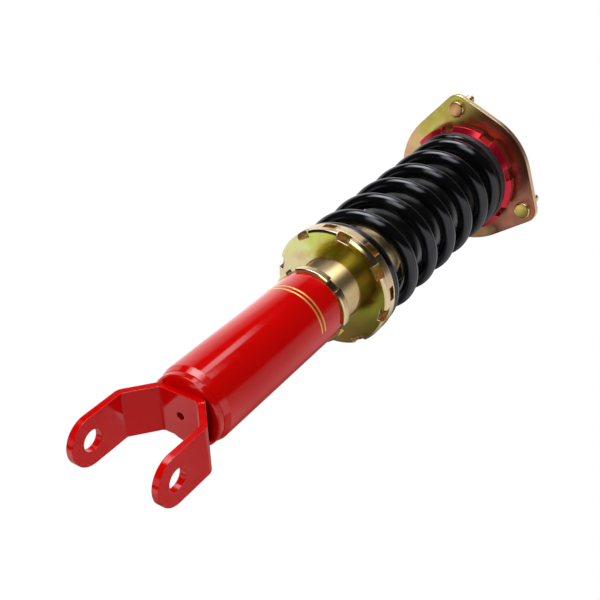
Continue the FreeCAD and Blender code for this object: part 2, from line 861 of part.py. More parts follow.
pieces = [
    fork_bracket, tube_end_cap, lower_tube, body_lock_collar, damper_body, gas_fill_screw,
    perch_lock_ring, spring_perch, coil_spring, spring_isolator, upper_spring_seat, bump_cup,
    bump_stop, dust_boot, piston_rod, damper_piston, piston_band, compression_shims,
    rebound_shims, piston_nut, rod_guide, rod_seal, gland_nut, floating_piston,
    floating_piston_ring, top_plate, mount_studs, bearing_ball, bearing_race, retaining_ring,
    ball_spacer, top_washer, top_nut,
]

os.makedirs("parts", exist_ok=True)
for piece in pieces:
    shape = piece()
    shape.exportStep("parts/" + piece.__name__ + ".step")
    box = shape.BoundBox
    print(piece.__name__, len(shape.Solids), shape.isValid(), round(shape.Volume, 1),
          round(box.ZMin, 2), round(box.ZMax, 2))
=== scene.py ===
import json
import math

import bpy
import numpy as np
from mathutils import Matrix


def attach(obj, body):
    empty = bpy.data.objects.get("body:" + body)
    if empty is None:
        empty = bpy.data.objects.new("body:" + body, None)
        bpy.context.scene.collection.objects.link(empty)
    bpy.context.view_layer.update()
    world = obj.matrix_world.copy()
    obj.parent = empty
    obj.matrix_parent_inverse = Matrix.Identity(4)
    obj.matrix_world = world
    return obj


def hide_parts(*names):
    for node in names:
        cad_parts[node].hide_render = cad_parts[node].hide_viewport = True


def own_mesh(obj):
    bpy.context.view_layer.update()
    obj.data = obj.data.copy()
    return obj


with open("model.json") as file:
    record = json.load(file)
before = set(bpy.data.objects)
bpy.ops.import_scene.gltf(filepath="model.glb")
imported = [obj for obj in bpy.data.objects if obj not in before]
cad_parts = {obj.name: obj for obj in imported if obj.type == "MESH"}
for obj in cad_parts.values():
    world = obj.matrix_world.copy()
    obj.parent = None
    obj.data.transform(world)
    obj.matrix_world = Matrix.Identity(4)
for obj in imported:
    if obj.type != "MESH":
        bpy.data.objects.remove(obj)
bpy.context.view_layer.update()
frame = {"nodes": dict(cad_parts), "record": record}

# Coilover. Metres, in the part's own frame: the fork's bolt runs along X at the origin and the
# damper stands up Z. The form comes from the CAD nodes. The soft and wound pieces, the studs and
# the pinstripes are worked out here as surfaces of two parameters.

# Sizes shared with the CAD nodes
COIL_RADIUS = 0.03675
WIRE_RADIUS = 0.00575
SPRING_BOTTOM = 0.217
SPRING_TOP = 0.407
CLOSED_PITCH = 0.01155
ACTIVE_PITCH = 0.03125
GROUND_TURNS = 0.75
LOWER_RAMP = 0.30
UPPER_RAMP = 0.85
TIP_ANGLE = math.radians(-107)
ISOLATOR_TOP = 0.413
BOOT_BOTTOM = 0.264
BOOT_TOP = 0.410
BUMP_STOP_BOTTOM = 0.362
BUMP_STOP_TOP = 0.407
TUBE_RADIUS = 0.0255
BODY_THREAD_PITCH = 0.0015
STUD_CIRCLE = 0.0585
FIRST_STUD = math.radians(79.5)
STUD_RADIUS = 0.0040
STUD_PITCH = 0.00125
PLATE_BOTTOM = 0.426
PLATE_TOP = 0.431


def grid_faces(rows, columns, ringed=True, closed=False, start=0):
    """Faces of a grid of points that are counted row by row from start.
    Each row joins round into a ring when ringed is true, and the last row joins the first when
    closed is true. A ringed grid that isn't closed has one flat face at each end."""
    index = start + np.arange(rows * columns).reshape(rows, columns)
    ends = [index[0, ::-1].tolist(), index[-1].tolist()] if ringed and not closed else []
    if ringed:
        index = np.concatenate([index, index[:, :1]], axis=1)
    if closed:
        index = np.concatenate([index, index[:1]], axis=0)
    quads = np.stack([index[:-1, :-1], index[:-1, 1:], index[1:, 1:], index[1:, :-1]], axis=-1)
    return quads.reshape(-1, 4).tolist() + ends


def from_faces(name, points, faces, sharp):
    """A mesh object that is smooth but for edges that bend by more than sharp degrees."""
    mesh = bpy.data.meshes.new(name)
    mesh.from_pydata(points.tolist(), [], faces)
    mesh.update()
    mesh.polygons.foreach_set("use_smooth", np.ones(len(mesh.polygons), dtype=bool))
    mesh.set_sharp_from_angle(angle=math.radians(sharp))
    piece = bpy.data.objects.new(name, mesh)
    bpy.context.scene.collection.objects.link(piece)
    return piece


def surface(name, *grids, closed=False, sharp=35):
    """A mesh object from grids of points (rows, columns, 3) whose rows are rings.
    Faces look outwards where a row runs anticlockwise and the rows climb."""
    faces, start = [], 0
    for points in grids:
        rows, columns, _ = points.shape
        faces += grid_faces(rows, columns, closed=closed, start=start)
        start += rows * columns
    points = np.concatenate([grid.reshape(-1, 3) for grid in grids])
    return from_faces(name, points, faces, sharp)


def turned(outline, steps):
    """Grid of a closed outline of (radius, height) carried round Z.
    Point (i, j) is radius i x cos j, radius i x sin j, height i."""
    turn = np.linspace(0, 2 * np.pi, steps, endpoint=False)
    outline = np.asarray(outline)
    radius = outline[:, :1]
    height = np.repeat(outline[:, 1:], steps, axis=1)
    return np.stack([radius * np.cos(turn), radius * np.sin(turn), height], axis=-1)


def rounded(corners, radii, steps=6):
    """Closed outline with each corner replaced by an arc that starts and ends a radius away.
    Over t from 0 to 1 the arc is the square of (1 - t) x its start + 2 x t x (1 - t) x the
    corner + the square of t x its end."""
    corners = np.asarray(corners, float)
    radii = np.asarray(radii, float)[:, None]
    back = np.roll(corners, 1, axis=0) - corners
    ahead = np.roll(corners, -1, axis=0) - corners
    back /= np.linalg.norm(back, axis=1, keepdims=True)
    ahead /= np.linalg.norm(ahead, axis=1, keepdims=True)
    start = corners + back * radii
    end = corners + ahead * radii
    t = np.linspace(0, 1, steps)[None, :, None]
    arcs = ((1 - t) ** 2 * start[:, None] + 2 * t * (1 - t) * corners[:, None]
            + t ** 2 * end[:, None])
    return arcs.reshape(-1, 2)


def wire_stretches():
    """Turns of the wire's five stretches: closed end, ramp, open middle, ramp, closed end. The
    middle has as many as climb the height that the others leave."""
    ends = ((GROUND_TURNS * 2) * CLOSED_PITCH
            + (LOWER_RAMP + UPPER_RAMP) * (CLOSED_PITCH + ACTIVE_PITCH) / 2)
    rise = SPRING_TOP - SPRING_BOTTOM - 2 * WIRE_RADIUS + 2 * CLOSED_PITCH * GROUND_TURNS
    middle = (rise - ends) / ACTIVE_PITCH
    return np.array([GROUND_TURNS, LOWER_RAMP, middle, UPPER_RAMP, GROUND_TURNS])


def wire_height(turns, lengths):
    """Height of the wire's middle after some turns, as a whole array. Each stretch climbs by
    its first pitch x turns + half the pitch's change x turns squared / the stretch's length."""
    first = np.array([CLOSED_PITCH, CLOSED_PITCH, ACTIVE_PITCH, ACTIVE_PITCH, CLOSED_PITCH])
    last = np.array([CLOSED_PITCH, ACTIVE_PITCH, ACTIVE_PITCH, CLOSED_PITCH, CLOSED_PITCH])
    starts = np.concatenate([[0], np.cumsum(lengths)[:-1]])
    step = np.clip(turns[:, None] - starts, 0, lengths)
    climb = (first * step + (last - first) * step ** 2 / (2 * lengths)).sum(axis=1)
    return SPRING_BOTTOM + WIRE_RADIUS - CLOSED_PITCH * GROUND_TURNS + climb


def spring_points(steps_per_turn=120, around=40):
    """Point (i, j): wire's middle at turn i, plus the wire's radius x (outward x cos j +
    sideways x sin j), where sideways is at right angles to the wire's way. Both ends are then
    ground: whatever lies past a seat's plane is moved straight onto it."""
    lengths = wire_stretches()
    total = lengths.sum()
    turns = np.linspace(0, total, round(total * steps_per_turn) + 1)
    angle = TIP_ANGLE + 2 * np.pi * turns
    outward = np.stack([np.cos(angle), np.sin(angle), np.zeros_like(angle)], axis=1)
    middle = outward * COIL_RADIUS
    middle[:, 2] = wire_height(turns, lengths)
    way = np.gradient(middle, axis=0)
    way /= np.linalg.norm(way, axis=1, keepdims=True)
    sideways = np.cross(way, outward)
    round_wire = np.linspace(0, 2 * np.pi, around, endpoint=False)
    points = (middle[:, None] + WIRE_RADIUS * (
        outward[:, None] * np.cos(round_wire)[None, :, None]
        + sideways[:, None] * np.sin(round_wire)[None, :, None]))
    points[..., 2] = np.clip(points[..., 2], SPRING_BOTTOM, SPRING_TOP)
    return points


def stud_points(centre_angle, steps=64, thread_rows=190):
    """One stud: rows climb from the head's underside to the tip. On the thread the radius is
    the M8 outside radius less the 0.7 mm depth x a triangle wave of (height / 1.25 mm pitch -
    angle / full turn), whose crests and roots are cut flat. The wave fades in above the plate,
    and a cone limits the radius at the tip. No ring shrinks to less than the least radius."""
    thread_bottom, thread_top, depth = 0.4312, 0.4544, 0.00070
    fade_start, fade_length = 0.4316, 0.0012
    cone_start, cone_slope = 0.4532, 0.75
    least_radius = 1e-5
    turn = np.linspace(0, 2 * np.pi, steps, endpoint=False)
    below = np.array([
        [0.0, 0.4230], [0.0055, 0.4230], [0.00625, 0.42308], [0.00665, 0.4234],
        [0.00675, 0.4238], [0.00675, 0.4257], [0.0066, PLATE_BOTTOM], [0.0044, PLATE_BOTTOM],
        [0.0044, PLATE_TOP], [STUD_RADIUS, 0.43102]])
    height = np.linspace(thread_bottom, thread_top, thread_rows)
    wave = np.abs(((height[:, None] / STUD_PITCH - turn / (2 * np.pi)) % 1) * 2 - 1)
    wave = np.clip(wave * 1.25 - 0.125, 0, 1)
    fade = np.clip((height - fade_start) / fade_length, 0, 1)[:, None]
    limit = STUD_RADIUS - np.clip(height - cone_start, 0, None)[:, None] * cone_slope
    thread = np.minimum(STUD_RADIUS - depth * wave * fade, limit)
    above = np.array([[0.0028, 0.4549], [0.0024, 0.4550], [0.0, 0.4550]])
    radius = np.concatenate([np.repeat(below[:, :1], steps, 1), thread,
                             np.repeat(above[:, :1], steps, 1)])
    radius = np.maximum(radius, least_radius)
    rise = np.concatenate([below[:, 1], height, above[:, 1]])
    x = STUD_CIRCLE * math.cos(centre_angle) + radius * np.cos(turn)
    y = STUD_CIRCLE * math.sin(centre_angle) + radius * np.sin(turn)
    return np.stack([x, y, np.repeat(rise[:, None], steps, 1)], axis=-1)


def stripe_points(middle, first=-1.0, last=179.0, steps=160):
    """A thin strip bent round the tube from the first to the last degree. Point (i, j) is
    outline point j at angle i. The outline is a flat lens 1.3 mm wide and 0.06 mm proud, and
    at both ends of the strip it shrinks by the square root of the way left."""
    half_width, proud, taper_share, least_share = 0.00065, 0.00006, 0.012, 0.04
    turn = np.radians(np.linspace(first, last, steps))
    along = np.linspace(0, 1, steps)
    taper = np.clip(np.minimum(along, 1 - along) / taper_share, least_share, 1) ** 0.5
    across = np.array([[-1, -0.5], [1, -0.5], [1, 0.55], [0.86, 1], [-0.86, 1], [-1, 0.55]])
    height = middle + half_width * across[:, 0] * taper[:, None]
    radius = TUBE_RADIUS + proud * across[:, 1] * taper[:, None]
    return np.stack([radius * np.cos(turn)[:, None], radius * np.sin(turn)[:, None],
                     height], axis=-1)


def bump_stop_outline():
    """Outside radius over height: 17.2 mm plus 1.8 mm x the cosine of the way through each of
    three lobes, and over its last 9 mm the tip narrows to 13 mm by a quarter of a sine."""
    lobe_middle, lobe_length = 0.3995, 0.015
    tip_radius, tip_length, bore_radius = 0.0130, 0.009, 0.0073
    height = np.linspace(BUMP_STOP_BOTTOM, BUMP_STOP_TOP, 90)
    radius = 0.0172 + 0.0018 * np.cos((height - lobe_middle) / lobe_length * 2 * np.pi)
    tip = np.clip((height - BUMP_STOP_BOTTOM) / tip_length, 0, 1)
    radius = tip_radius + (radius - tip_radius) * np.sin(tip * np.pi / 2)
    outside = np.stack([radius, height], axis=1)
    inside = np.array([[bore_radius, BUMP_STOP_TOP], [bore_radius, BUMP_STOP_BOTTOM]])
    return np.concatenate([outside, inside])


def colour(text):
    """sRGB hex text to linear red, green, blue and one."""
    value = np.array([int(text[i:i + 2], 16) for i in (1, 3, 5)]) / 255
    linear = np.where(value <= 0.04045, value / 12.92, ((value + 0.055) / 1.055) ** 2.4)
    return (*linear.tolist(), 1.0)


def new_material(name):
    """An empty material and its node tree."""
    material = bpy.data.materials.new(name)
    material.use_nodes = True
    material.node_tree.nodes.clear()
    return material, material.node_tree


def add(tree, kind, settings=(), links=(), **values):
    """One node: settings are its own properties and a ramp's stops, links the sockets that take
    another node's output, and values the sockets by name, or by number after an underscore."""
    node = tree.nodes.new("ShaderNode" + kind)
    for key, value in dict(settings).items():
        if key == "stops":
            while len(node.color_ramp.elements) < len(value):
                node.color_ramp.elements.new(0.5)
            for element, (position, shade) in zip(node.color_ramp.elements, value):
                element.position = position
                element.color = colour(shade) if isinstance(shade, str) else (shade,) * 3 + (1,)
        else:
            setattr(node, key, value)
    for key, value in values.items():
        socket = int(key[1:]) if key[0] == "_" else key.replace("_", " ")
        node.inputs[socket].default_value = value
    for key, output in dict(links).items():
        tree.links.new(output, node.inputs[key])
    return node


# In the materials a noise's Scale counts its waves in a metre, so 450 is a grain of 2.2 mm.
# Radius and Distance are metres. Shades are sRGB.


def patches(tree, spot, first, second, stops=(0.35, 0.65), **noise):
    """Soft patches of two near shades, or of two near values of roughness."""
    patch = add(tree, "TexNoise", links={"Vector": spot}, **noise)
    tone = add(tree, "ValToRGB", {"stops": list(zip(stops, (first, second)))},
               {0: patch.outputs[0]})
    return tone.outputs[0]


def turn_share(tree, split):
    """Angle about Z, as a share of a full turn from 0 on the X axis up to 1, of a place that is
    split into X, Y and Z."""
    turn = add(tree, "Math", {"operation": "ARCTAN2"}, {0: split.outputs[1], 1: split.outputs[0]})
    share = add(tree, "Math", {"operation": "MULTIPLY_ADD"}, {0: turn.outputs[0]},
                _1=1 / (2 * math.pi), _2=1.0)
    return add(tree, "Math", {"operation": "FRACT"}, {0: share.outputs[0]}).outputs[0]


def edge_share(tree, soft, low, high):
    """Nothing on flat faces and one along the edges: how far the softened normal has turned."""
    sharp = add(tree, "NewGeometry")
    same = add(tree, "VectorMath", {"operation": "DOT_PRODUCT"},
               {0: soft, 1: sharp.outputs["Normal"]})
    share = add(tree, "MapRange", links={0: same.outputs["Value"]}, _1=1 - low, _2=1 - high,
                _3=0.0, _4=1.0)
    return share.outputs[0]


def red_powder_coat():
    """Gloss powder coat over steel: deep red, wet-looking, with a faint orange peel from the
    baked powder that breaks up the long highlights. Narrow hollows get a painted shade of near
    black."""
    m, tree = new_material("gloss_red_powder_coat")
    spot = add(tree, "TexCoord").outputs["Object"]
    soft = add(tree, "Bevel", {"samples": 6}, Radius=0.0006)
    grain = add(tree, "TexNoise", links={"Vector": spot}, Scale=450, Detail=1.0)
    peel = add(tree, "Bump", links={"Height": grain.outputs[0], "Normal": soft.outputs[0]},
               Strength=0.35, Distance=0.00002)
    tone = patches(tree, spot, "#C80000", "#CF0100", Scale=33)
    # Painted shade: a near black mixed in where ambient occlusion finds narrow hollows.
    deep = add(tree, "AmbientOcclusion", {"samples": 6}, Distance=0.009)
    hollow = add(tree, "MapRange", links={0: deep.outputs["AO"]}, _1=0.40, _2=0.12, _3=0.0,
                 _4=0.95)
    shade = add(tree, "Mix", {"data_type": "RGBA"}, {0: hollow.outputs[0], 6: tone},
                _7=colour("#240204"))
    shine = patches(tree, spot, 0.06, 0.11, (0.3, 0.7), Scale=200, Detail=3.0)
    shader = add(tree, "BsdfPrincipled", links={
        "Base Color": shade.outputs[2], "Roughness": shine, "Normal": peel.outputs[0]}, IOR=1.5)
    add(tree, "OutputMaterial", links={0: shader.outputs[0]})
    return m


def yellow_zinc(name, film_shades, roughness):
    """Zinc plating with a yellow passivate. The film is thin enough to show its own colours: it
    drifts round each ring through straw, salmon, yellow-green and olive, with rusty clouds
    where it is thick. Where ambient occlusion finds slots it is mixed towards brown, faces that
    look sideways are mixed towards cream, and a painted highlight of pale pink runs along the
    edges."""
    m, tree = new_material(name)
    spot = add(tree, "TexCoord")
    soft = add(tree, "Bevel", {"samples": 6}, Radius=0.0006)
    place = add(tree, "SeparateXYZ", links={0: spot.outputs["Object"]})
    share = turn_share(tree, place)
    drift = add(tree, "TexNoise", links={"Vector": spot.outputs["Object"]}, Scale=48,
                Detail=2.0, Roughness=0.4)
    moved = add(tree, "Math", {"operation": "MULTIPLY_ADD"}, {0: drift.outputs[0]}, _1=0.40,
                _2=-0.20)
    phase = add(tree, "Math", {"operation": "ADD"}, {0: share, 1: moved.outputs[0]})
    film = add(tree, "ValToRGB", {"stops": film_shades}, {0: phase.outputs[0]})
    spread = add(tree, "TexNoise", links={"Vector": spot.outputs["Object"]}, Scale=70)
    thick = add(tree, "MapRange", links={0: spread.outputs[0]}, _1=0.50, _2=0.68, _3=0.0,
                _4=0.35)
    rust = add(tree, "Mix", {"data_type": "RGBA"}, {0: thick.outputs[0], 6: film.outputs[0]},
               _7=colour("#C07A3C"))
    facing = add(tree, "SeparateXYZ", links={0: spot.outputs["Normal"]})
    flat = add(tree, "Math", {"operation": "ABSOLUTE"}, {0: facing.outputs[2]})
    sideways = add(tree, "MapRange", links={0: flat.outputs[0]}, _1=0.97, _2=0.6, _3=0.0,
                   _4=0.85)
    turned_side = add(tree, "Mix", {"data_type": "RGBA"},
                      {0: sideways.outputs[0], 6: rust.outputs[2]}, _7=colour("#E8CBA6"))
    deep = add(tree, "AmbientOcclusion", {"samples": 6}, Distance=0.005)
    hollow = add(tree, "MapRange", links={0: deep.outputs["AO"]}, _1=0.70, _2=0.35, _3=0.0,
                 _4=0.8)
    slots = add(tree, "Mix", {"data_type": "RGBA"},
                {0: hollow.outputs[0], 6: turned_side.outputs[2]}, _7=colour("#D8965A"))
    # Painted highlight: a pale pink mixed in along the edges.
    edge = edge_share(tree, soft.outputs[0], 0.005, 0.10)
    tone = add(tree, "Mix", {"data_type": "RGBA"}, {0: edge, 6: slots.outputs[2]},
               _7=colour("#FCE0D0"))
    wear = add(tree, "TexNoise", links={"Vector": spot.outputs["Object"]}, Scale=120)
    shine = add(tree, "ValToRGB", {"stops": [(0.3, roughness - 0.02), (0.7, roughness + 0.03)]},
                {0: wear.outputs[0]})
    clean = add(tree, "MapRange", links={0: hollow.outputs[0]}, _1=0.0, _2=0.8, _3=1.0, _4=0.5)
    grain = add(tree, "Bump", links={"Height": wear.outputs[0], "Normal": soft.outputs[0]},
                Strength=0.08, Distance=0.00001)
    shader = add(tree, "BsdfPrincipled", links={
        "Base Color": tone.outputs[2], "Metallic": clean.outputs[0],
        "Roughness": shine.outputs[0], "Normal": grain.outputs[0]})
    add(tree, "OutputMaterial", links={0: shader.outputs[0]})
    return m


def body_plating():
    """Threaded steel body with the same plating thin and pale: champagne. Its thread is a bump
    with one sloping flank in each turn, whose turns are only just visible as fine lines."""
    m, tree = new_material("pale_plated_fine_thread")
    spot = add(tree, "TexCoord").outputs["Object"]
    soft = add(tree, "Bevel", {"samples": 6}, Radius=0.0005)
    tone = patches(tree, spot, "#DCBE8C", "#E8CEA4", Scale=30)
    place = add(tree, "SeparateXYZ", links={0: spot})
    turns = add(tree, "Math", {"operation": "MULTIPLY"}, {0: place.outputs[2]},
                _1=1 / BODY_THREAD_PITCH)
    phase = add(tree, "Math", {"operation": "SUBTRACT"},
                {0: turns.outputs[0], 1: turn_share(tree, place)})
    part = add(tree, "Math", {"operation": "FRACT"}, {0: phase.outputs[0]})
    flank = add(tree, "MapRange", links={0: part.outputs[0]}, _1=0.0, _2=0.55, _3=0.0, _4=1.0)
    thread = add(tree, "Bump", links={"Height": flank.outputs[0], "Normal": soft.outputs[0]},
                 Strength=1.0, Distance=0.0007)
    shader = add(tree, "BsdfPrincipled", links={
        "Base Color": tone, "Normal": thread.outputs[0]}, Metallic=1.0, Roughness=0.30)
    add(tree, "OutputMaterial", links={0: shader.outputs[0]})
    return m


def spring_paint():
    """Spring steel under gloss black paint: near black with long clean highlights, a little
    cooler than the studio."""
    m, tree = new_material("gloss_black_spring_paint")
    spot = add(tree, "TexCoord").outputs["Object"]
    grain = add(tree, "TexNoise", links={"Vector": spot}, Scale=300, Detail=1.5)
    peel = add(tree, "Bump", links={"Height": grain.outputs[0]}, Strength=0.1,
               Distance=0.00002)
    tone = patches(tree, spot, "#09090A", "#0D0D0F", Scale=40)
    shine = patches(tree, spot, 0.02, 0.05, (0.3, 0.7), Scale=120, Detail=3.0)
    shader = add(tree, "BsdfPrincipled", links={
        "Base Color": tone, "Roughness": shine, "Normal": peel.outputs[0]}, IOR=1.5,
        Specular_Tint=colour("#F2F4FF"))
    add(tree, "OutputMaterial", links={0: shader.outputs[0]})
    return m


def rubber(name, first, second, roughness, grain_mm):
    """Moulded rubber, foam or plastic: two near shades and a fine even grain."""
    m, tree = new_material(name)
    spot = add(tree, "TexCoord").outputs["Object"]
    tone = patches(tree, spot, first, second, Scale=80, Detail=3.0)
    grit = add(tree, "TexNoise", links={"Vector": spot}, Scale=1000 / grain_mm)
    grain = add(tree, "Bump", links={"Height": grit.outputs[0]}, Strength=0.3,
                Distance=0.00004)
    shader = add(tree, "BsdfPrincipled", links={
        "Base Color": tone, "Normal": grain.outputs[0]}, Roughness=roughness, IOR=1.5)
    add(tree, "OutputMaterial", links={0: shader.outputs[0]})
    return m


def crimson_anodised():
    """Turned aluminium dyed and anodised: the lathe's fine rings under a clear crimson, paler
    and pink where the edges catch the light."""
    m, tree = new_material("crimson_anodised_turned_aluminium")
    spot = add(tree, "TexCoord").outputs["Object"]
    soft = add(tree, "Bevel", {"samples": 6}, Radius=0.0006)
    tone = patches(tree, spot, "#B40E2A", "#C41634", Scale=40)
    # Painted highlight: a pale pink mixed in along the edges.
    edge = edge_share(tree, soft.outputs[0], 0.03, 0.30)
    bright = add(tree, "Mix", {"data_type": "RGBA"}, {0: edge, 6: tone}, _7=colour("#F66C86"))
    place = add(tree, "SeparateXYZ", links={0: spot})
    lathe = add(tree, "TexNoise", {"noise_dimensions": "1D"}, {"W": place.outputs[2]},
                Scale=2500, Detail=1.0)
    rings = add(tree, "Bump", links={"Height": lathe.outputs[0], "Normal": soft.outputs[0]},
                Strength=0.2, Distance=0.00002)
    shader = add(tree, "BsdfPrincipled", links={
        "Base Color": bright.outputs[2], "Normal": rings.outputs[0]}, Metallic=0.8,
        Roughness=0.22, Coat_Weight=0.2, Coat_Roughness=0.08)
    add(tree, "OutputMaterial", links={0: shader.outputs[0]})
    return m


def plain_metal(name, first, second, roughness, grain_mm=1.5):
    """Machined metal: two near shades in soft patches and a fine tool grain."""
    m, tree = new_material(name)
    spot = add(tree, "TexCoord").outputs["Object"]
    soft = add(tree, "Bevel", {"samples": 6}, Radius=0.0003)
    tone = patches(tree, spot, first, second, Scale=70, Detail=3.0)
    tool = add(tree, "TexNoise", links={"Vector": spot}, Scale=1000 / grain_mm, Detail=3.0)
    grain = add(tree, "Bump", links={"Height": tool.outputs[0], "Normal": soft.outputs[0]},
                Strength=0.3, Distance=0.00001)
    shader = add(tree, "BsdfPrincipled", links={
        "Base Color": tone, "Normal": grain.outputs[0]}, Metallic=1.0, Roughness=roughness)
    add(tree, "OutputMaterial", links={0: shader.outputs[0]})
    return m


def gold_stripe():
    """Gold pinstripe foil on the red: satin and pale."""
    m, tree = new_material("satin_gold_pinstripe")
    spot = add(tree, "TexCoord").outputs["Object"]
    tone = patches(tree, spot, "#D8B45C", "#E6C878", Scale=170)
    shader = add(tree, "BsdfPrincipled", links={"Base Color": tone}, Metallic=0.6,
                 Roughness=0.35)
    add(tree, "OutputMaterial", links={0: shader.outputs[0]})
    return m


def studio_floor():
    """Pale matt studio floor."""
    m, tree = new_material("pale_studio_floor")
    spot = add(tree, "TexCoord").outputs["Object"]
    tone = patches(tree, spot, "#F4F4F4", "#F6F6F6", (0.3, 0.7), Scale=3.3)
    shader = add(tree, "BsdfPrincipled", links={"Base Color": tone}, Roughness=0.7)
    add(tree, "OutputMaterial", links={0: shader.outputs[0]})
    return m


# Shades that a yellow passivate goes through as its film thickens, a handful for each bath.
# Each runs once round the piece and ends where it starts.
RING_FILM = [(0.00, "#DFCDA4"), (0.15, "#D2D88E"), (0.27, "#B8BC48"), (0.50, "#A0A038"),
             (0.75, "#92763E"), (0.87, "#E2B27C"), (1.00, "#DFCDA4")]
PLATE_FILM = [(0.00, "#F2BE98"), (0.17, "#D0D462"), (0.31, "#C88C64"), (0.52, "#CE8A70"),
              (0.67, "#704A3A"), (0.87, "#E2B27C"), (1.00, "#F2BE98")]
STUD_FILM = [(0.00, "#D0B080"), (0.25, "#C8986A"), (0.55, "#D2C46A"), (1.00, "#D0B080")]

finishes = {
    "red_powder_coat": red_powder_coat(),
    "yellow_zinc": yellow_zinc("yellow_passivated_zinc_plating", RING_FILM, 0.17),
    "body_thread_plating": body_plating(),
    "spring_paint": spring_paint(),
    "isolator_rubber": rubber("moulded_isolator_rubber", "#1B1C1E", "#232426", 0.5, 0.7),
    "boot_rubber": rubber("smooth_black_boot_rubber", "#0D0D0E", "#121213", 0.34, 1.2),
    "seal_rubber": rubber("nitrile_seal_rubber", "#141414", "#1A1A1A", 0.5, 0.6),
    "bump_foam": rubber("microcellular_bump_foam", "#C4B272", "#CEBE80", 0.8, 0.5),
    "low_friction_plastic": rubber("bronze_filled_low_friction_plastic", "#463620", "#504024",
                                   0.45, 0.6),
    "crimson_anodised": crimson_anodised(),
    "chromed_rod": plain_metal("hard_chromed_rod", "#D4D6D8", "#DCDEE0", 0.08, 4.0),
    "bare_aluminium": plain_metal("machined_aluminium", "#C9CBCE", "#D4D6D8", 0.3),
    "bright_steel": plain_metal("ground_bearing_steel", "#C4C6C8", "#D0D2D4", 0.16),
    "dark_steel": plain_metal("black_oxide_steel", "#3A3C3E", "#46484B", 0.38),
}
plate_finish = yellow_zinc("yellow_passivated_zinc_plate", PLATE_FILM, 0.32)
stud_finish = yellow_zinc("yellow_passivated_zinc_studs", STUD_FILM, 0.24)
stripe_finish = gold_stripe()

for row in frame["record"]["subparts"]:
    for slot in frame["nodes"][row["node"]].material_slots:
        slot.material = finishes[row["material_slot"]]

# The plate came out of the bath with other colours than the rings
for slot in frame["nodes"]["top_plate"].material_slots:
    slot.material = plate_finish


def dress(piece, material):
    """One material in the place of any that the piece has."""
    piece.data.materials.clear()
    piece.data.materials.append(material)


def add_piece(piece, body, slot, *nodes, material=None):
    """Finish, body and the CAD nodes that the piece stands for."""
    dress(piece, material or finishes[slot])
    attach(piece, body)
    if nodes:
        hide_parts(*nodes)
    return piece


spring = add_piece(surface("wound_spring", spring_points()), "perch", "spring_paint",
                   "coil_spring")
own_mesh(spring)

# Boot: a smooth sleeve with a lip on the body, a shoulder and a neck that goes into the seat
boot_line = rounded(
    [(0.0228, BOOT_BOTTOM), (0.0284, BOOT_BOTTOM), (0.0284, 0.3840), (0.0260, 0.3900),
     (0.0260, BOOT_TOP), (0.0199, BOOT_TOP), (0.0199, 0.4070), (0.0244, 0.4070),
     (0.0244, 0.3896), (0.0268, 0.3836), (0.0268, 0.2720), (0.0228, 0.2680)],
    [0.0004, 0.0012, 0.0020, 0.0020, 0.0006, 0.0003, 0.0003, 0.0006, 0.0018, 0.0018, 0.0012,
     0.0004])
boot = add_piece(surface("smooth_dust_boot", turned(boot_line, 128), closed=True), "rod_unit",
                 "boot_rubber", "dust_boot")
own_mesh(boot)

# Isolator: a ring with a collar round the seat's hub and a thin lip under the hub's end
isolator_line = rounded(
    [(0.0272, 0.4017), (0.0305, 0.4017), (0.0305, SPRING_TOP), (0.0427, SPRING_TOP),
     (0.0427, ISOLATOR_TOP), (0.0293, ISOLATOR_TOP), (0.0293, 0.4029), (0.0272, 0.4029)],
    [0.0004, 0.0005, 0.0004, 0.0013, 0.0009, 0.0004, 0.0001, 0.0004])
add_piece(surface("moulded_isolator", turned(isolator_line, 160), closed=True), "rod_unit",
          "isolator_rubber", "spring_isolator")

add_piece(surface("foam_bump_stop", turned(bump_stop_outline(), 96), closed=True), "rod_unit",
          "bump_foam", "bump_stop")

stud_turns = FIRST_STUD + np.arange(3) * 2 * math.pi / 3
add_piece(surface("threaded_studs", *(stud_points(turn) for turn in stud_turns), sharp=50),
          "top_mount", "yellow_zinc", "mount_studs", material=stud_finish)

for number, middle in enumerate((0.15255, 0.15625), start=1):
    add_piece(surface(f"pinstripe_{number}", stripe_points(middle)), "lower_mount",
              "body_thread_plating", material=stripe_finish)


scene = bpy.context.scene
scene.view_settings.view_transform = "Standard"


def white_seen(tree, strength):
    """Strength for plain light, and one where the camera, a mirror or glass looks at it."""
    path = add(tree, "LightPath")
    either = add(tree, "Math", {"operation": "MAXIMUM"}, {
        0: path.outputs["Is Camera Ray"], 1: path.outputs["Is Glossy Ray"]})
    seen = add(tree, "Math", {"operation": "MAXIMUM"}, {
        0: either.outputs[0], 1: path.outputs["Is Transmission Ray"]})
    return add(tree, "MapRange", links={0: seen.outputs[0]}, _3=strength, _4=1.0).outputs[0]


world = bpy.data.worlds.new("white_studio")
scene.world = world
world.use_nodes = True
background = world.node_tree.nodes["Background"]
background.inputs[0].default_value = (1, 1, 1, 1)
world.node_tree.links.new(white_seen(world.node_tree, 0.59), background.inputs[1])


def stand(side, up, back, position):
    """Matrix of a lamp or camera from its own three axes and its place."""
    return Matrix([[side[i], up[i], back[i], position[i]] for i in range(3)] + [[0, 0, 0, 1]])


def soft_box(name, position, target, size, power):
    """A square of light that looks from its place at a target. Shiny surfaces don't see it:
    what they see of the studio is in the surroundings below."""
    lamp = bpy.data.lights.new(name, "AREA")
    lamp.shape = "RECTANGLE"
    lamp.size = size
    lamp.size_y = size
    lamp.energy = power
    holder = bpy.data.objects.new(name, lamp)
    scene.collection.objects.link(holder)
    way = np.array(position) - np.array(target)
    way /= np.linalg.norm(way)
    side = np.cross((0, 0, 1), way)
    side /= np.linalg.norm(side)
    up = np.cross(way, side)
    holder.matrix_world = stand(side, up, way, position)
    holder.visible_glossy = False


soft_box("key_light", position=(0.6, 1.0, 0.15), target=(0, 0, 0.2), size=0.8, power=9)
soft_box("fill_light", position=(-0.45, -0.50, 0.42), target=(0, 0, 0.25), size=0.5, power=1.2)


